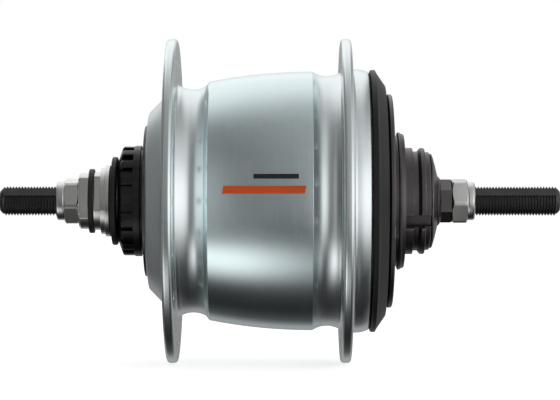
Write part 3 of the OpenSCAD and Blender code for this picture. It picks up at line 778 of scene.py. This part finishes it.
make(
    "hub_shell", "hub_shell", "shell_aluminium", hub_shell_mesh(),
    barrel_metal, groove_metal, flange_metal, dome_metal, drum_metal, bored_metal,
    cutter=spoke_holes(), zone=shell_zone, sharp=40,
)


LIP = 0.12  # width of the broken edge along a slot


def slotted(outline, bevel, centres, half, floor, lip, span):
    """Turned piece with radial slots between two places. half is half a slot's angle, floor its
    floor's radius, and lip the radius that its broken edges come down to."""
    spread = math.degrees(LIP / lip)
    sides = {}
    for centre in centres:
        for offset, limit in ((-half - spread, None), (-half, lip), (-half, floor), (0, floor),
                              (half, floor), (half, lip), (half + spread, None)):
            sides.setdefault(round((centre + offset) % 360, 4), []).append(limit)
    columns = []
    for angle in sorted(sides):
        for limit in sides[angle]:
            shape = outline if limit is None else limited(outline, limit, span)
            columns.append((angle, bevelled(shape, bevel)))
    plain = bevelled(outline, bevel)
    half_pitch = 360 / len(centres) / 2
    reach = half_pitch - half - spread
    parts = 4 if reach < 10 else 40  # of the plain stretch between two slots
    for centre in centres:
        for i in range(1, parts):
            angle = centre + half_pitch + reach * 2 * (i / parts - 0.5)
            columns.append((round(angle % 360, 4), plain))
    return lathe(sorted(columns, key=lambda c: c[0]))


make(
    "brake_spline", "hub_shell", "black_oxide_steel",
    slotted([(12.6, -52.7), (14, -52.7), (17.6, -51.4), (17.95, -51), (17.95, -47.651, 0),
             (17.95, -47.649, 0), (17.95, -47.5, 0), (18.2, -47.5), (18.2, -45.4), (16.8, -45.4),
             (16.8, -44.2), (15.43, -44.2), (15.43, -51.1), (12.6, -51.1)],
            0.12, even(18, -7.8), 4.962, 16.6, 17.8, (-54, -47.65)),
    spline_metal,
)
make(
    "left_dust_plate", "hub_shell", "black_oxide_steel",
    turned([(15.43, -44.15), (24.75, -44.15), (24.75, -43.35), (15.43, -43.35)], 0.15, 144),
    brown_metal,
)
make(
    "right_cover", "hub_shell", "cover_plastic",
    turned([(36.53, 29.4), (42.7, 29.4), (43.1, 29.8), (43.1, 31), (42, 31.6), (37.9, 34.4, 0.4),
            (34.4, 34.4), (34.4, 33.3), (36.53, 33.3)], 0.15, 200),
    cover_plastic,
)


# ---- Pieces that turn with the driver ------------------------------------------------


def driver_mesh():
    outline = [(9, 22.6), (14, 22.6), (14, 25.6), (21.607, 25.6), (21.607, 28.4), (26.1, 32.9),
               (26.1, 33.3), (33.9, 33.3), (33.9, 34.4), (21.45, 34.4), (21.45, 38.4),
               (18.3, 38.4), (18.3, 40.399, 0), (18.3, 40.401, 0), (18.3, 40.5, 0.08), (17.5, 40.5),
               (17.5, 43.2), (17.3, 43.4), (16.3, 43.4), (16.3, 44.9), (17.45, 45.9), (17.45, 47),
               (17.2, 47.3), (16.1, 47.3), (16.1, 48.6), (15.7, 49), (12.5, 49), (12.5, 44.558),
               (9, 41.058)]
    floor, half_width = 15.2, 2
    half = math.degrees(math.atan(half_width / floor))
    return slotted(outline, 0.12, even(3, -23.5), half, floor, 17.3, (40.4, 60))


def pawl_pockets():
    """The three pockets that the driver's pawls fold into, as cutters."""
    bm = bmesh.new()
    for start in even(3):
        corners = [(19, 13.5), (15.2, 13.5), (11.3, 27), (10.9, 41), (15, 41)]
        prism(bm, [(-a - start, r) for r, a in corners], 22, 25.2)
    return bm


make("driver", "driver", "driver_steel", driver_mesh(), brown_metal, cutter=pawl_pockets())
make(
    "driver_dust_plate", "driver", "driver_steel",
    turned([(21.48, 34.4), (33, 34.4), (33, 34.9), (34.7, 34.9), (35.1, 35.3), (35.1, 36.2),
            (34.7, 36.6), (21.48, 36.6)], 0.15, 180),
    brown_metal,
)
make(
    "driver_dust_cap", "driver", "driver_steel",
    turned([(18.33, 38.4), (22.4, 38.4), (22.6, 38.6), (22.6, 39.2), (22.3, 39.4), (22.2, 39.6),
            (21.9, 40.5), (18.33, 40.5)], 0.1, 120),
    brown_metal,
)


# ---- Inner CAD pieces: their shape stays, their finish is better ----------------------

INNER_FINISH = {
    "gear_steel": gear_metal,
    "bright_steel": bright_metal,
    "cage_steel": cage_metal,
    "driver_steel": gear_metal,
    "black_oxide_steel": black_metal,
    "seal_rubber": seal_rubber,
}


def finish_inner_nodes():
    for part in frame["record"]["subparts"]:
        node = frame["nodes"][part["node"]]
        if not node.hide_render:
            node.data.materials.clear()
            node.data.materials.append(INNER_FINISH[part["material_slot"]])


finish_inner_nodes()


# ---- Studio --------------------------------------------------------------------------

# Brightness of the studio by elevation angle: 0 is towards the camera, 90 overhead, -90
# underneath and 180 behind the object. It changes from the left end of the axle to the right.
BEHIND = [(-180, 0.25), (-165, 0.35), (-150, 0.4), (-135, 0.08), (-115, 0.02)]
LOW_BOX = [(-103, 0.03), (-95, 0.04), (-88, 0.07), (-80, 0.26), (-74, 0.6), (-66, 1.1),
           (-59, 1.28), (-52, 1.2), (-45, 0.85), (-38, 0.42)]
OVERHEAD = [(76, 0.29), (90, 0.52), (105, 0.84), (125, 1.08), (150, 1.1), (165, 0.9), (180, 0.25)]
LEFT_POLE = [(-180, 0.16), (-150, 0.12), (-90, 0.18), (0, 0.22), (90, 0.2), (180, 0.16)]
FAR_LEFT = [(-180, 0.1), (-145, 0.08), (-120, 0.12), (-95, 0.05), (-60, 0.45), (-35, 0.12),
            (0, 0.07), (40, 0.1), (76, 0.2), (126, 0.24), (147, 0.34), (165, 0.25), (180, 0.14)]
NEAR_LEFT = BEHIND + LOW_BOX + [(-22, 0.45), (0, 0.55), (25, 0.5), (50, 0.32)] + OVERHEAD
LEFT = BEHIND + LOW_BOX + [(-26, 0.22), (-4, 0.2), (51, 0.2), (63, 0.23)] + OVERHEAD
MIDDLE = BEHIND + [
    (-100, 0.03), (-84, 0.08), (-71, 0.28), (-59, 0.5), (-48, 0.38), (-36, 0.15), (-25, 0.12),
    (-4, 0.21), (38, 0.28), (73, 0.36), (92, 0.52), (118, 0.94), (150, 1.1), (165, 0.9), (180, 0.25),
]
RIGHT = BEHIND + [
    (-93, 0.03), (-71, 0.045), (-52, 0.09), (-42, 0.2), (-33, 0.4), (-16, 0.8), (0, 0.98),
    (18, 0.9), (35, 0.72), (53, 0.68), (73, 0.55), (90, 0.56), (106, 0.77), (118, 0.94),
    (146, 1.1), (165, 0.8), (180, 0.25),
]
FAR_RIGHT = [(-180, 0.4), (-110, 0.03), (-70, 0.06), (-48, 0.32), (-24, 0.98), (0, 1.22),
             (20, 1.15), (45, 0.75), (90, 0.38), (120, 0.3), (180, 0.45)]
RIGHT_POLE = [(-180, 0.9), (-120, 0.3), (-70, 0.3), (-30, 1.0), (0, 1.2), (30, 1.1), (90, 0.6),
              (180, 0.9)]
# The part of a direction that points along the axle, and the brightness all round there
STUDIO = [(-0.95, LEFT_POLE), (-0.62, FAR_LEFT), (-0.42, NEAR_LEFT), (-0.3, LEFT), (0.01, MIDDLE),
          (0.15, RIGHT), (0.45, FAR_RIGHT), (0.95, RIGHT_POLE)]
STUDIO_PEAK = 1.3  # brightest value the bands above may hold


def light_world():
    world = bpy.data.worlds.new("studio")
    bpy.context.scene.world = world
    world.use_nodes = True
    t = Tree(world.node_tree)
    direction = t.add("ShaderNodeTexCoord").outputs["Generated"]
    parts = t.add("ShaderNodeSeparateXYZ", {0: direction}).outputs
    angle = t.math("ARCTAN2", parts["Z"], parts["X"])
    turn = t.span(angle, -math.pi, math.pi)

    def band(stops):
        return t.ramp(turn, [((a + 180) / 360, v / STUDIO_PEAK) for a, v in stops])

    place, stops = STUDIO[0]
    colour = band(stops)
    for next_place, stops in STUDIO[1:]:
        share = t.span(parts["Y"], place, next_place, smooth=True)
        colour = t.mix(share, colour, band(stops))
        place = next_place
    background = t.add("ShaderNodeBackground", {"Color": colour, "Strength": STUDIO_PEAK})
    t.add("ShaderNodeOutputWorld", {"Surface": background.outputs[0]})


def stage_material(name, glow, diffuse):
    """White that glows by itself, so that the floor and the backdrop come out even."""
    material = bpy.data.materials.new(name)
    material.use_nodes = True
    t = Tree(material.node_tree)
    shader = t.add(
        "ShaderNodeBsdfPrincipled",
        {
            "Base Color": (diffuse, diffuse, diffuse, 1),
            "Roughness": 1.0,
            "Specular IOR Level": 0.0,
            "Emission Color": (1, 1, 1, 1),
            "Emission Strength": glow,
        },
    )
    t.add("ShaderNodeOutputMaterial", {"Surface": shader.outputs[0]})
    return material


def add_stage(name, bm, material):
    """Floor or backdrop: the camera sees it, and it leaves the light on the object alone."""
    mesh = bpy.data.meshes.new(name)
    bm.to_mesh(mesh)
    bm.free()
    mesh.shade_smooth()
    mesh.materials.append(material)
    made = bpy.data.objects.new(name, mesh)
    bpy.context.scene.collection.objects.link(made)
    made.visible_diffuse = made.visible_glossy = made.visible_shadow = False


STAGE_RADIUS = 5.0
FLOOR_GAP = 0.0002  # the floor lies just below the flanges
FLOOR_GLOW, FLOOR_WHITE = 0.72, 0.8


def build_stage():
    floor_height = cad_box[0].z - FLOOR_GAP
    floor = bmesh.new()
    bmesh.ops.create_circle(floor, cap_ends=True, radius=STAGE_RADIUS, segments=96)
    bmesh.ops.translate(floor, verts=floor.verts, vec=(0, 0, floor_height))
    add_stage("floor", floor, stage_material("floor_white", FLOOR_GLOW, FLOOR_WHITE))
    dome = bmesh.new()
    bmesh.ops.create_uvsphere(dome, u_segments=48, v_segments=24, radius=STAGE_RADIUS)
    add_stage("backdrop", dome, stage_material("backdrop_white", 1.0, 0.0))


CAMERA_DISTANCE = 0.8
CAMERA_HEIGHT = 0.00033
FRAME_WIDTH = 0.1844  # the picture's width at the axle
SENSOR_WIDTH = 36.0


def add_camera():
    camera = bpy.data.objects.new("camera", bpy.data.cameras.new("camera"))
    bpy.context.scene.collection.objects.link(camera)
    camera.location = (CAMERA_DISTANCE, 0.0, CAMERA_HEIGHT)
    camera.rotation_euler = (math.radians(90), 0.0, math.radians(90))
    camera.data.sensor_width = SENSOR_WIDTH
    camera.data.lens = SENSOR_WIDTH * CAMERA_DISTANCE / FRAME_WIDTH
    camera.data.clip_start, camera.data.clip_end = 0.05, 20.0
    bpy.context.scene.camera = camera


light_world()
build_stage()
add_camera()
bpy.context.scene.view_settings.view_transform = "Standard"
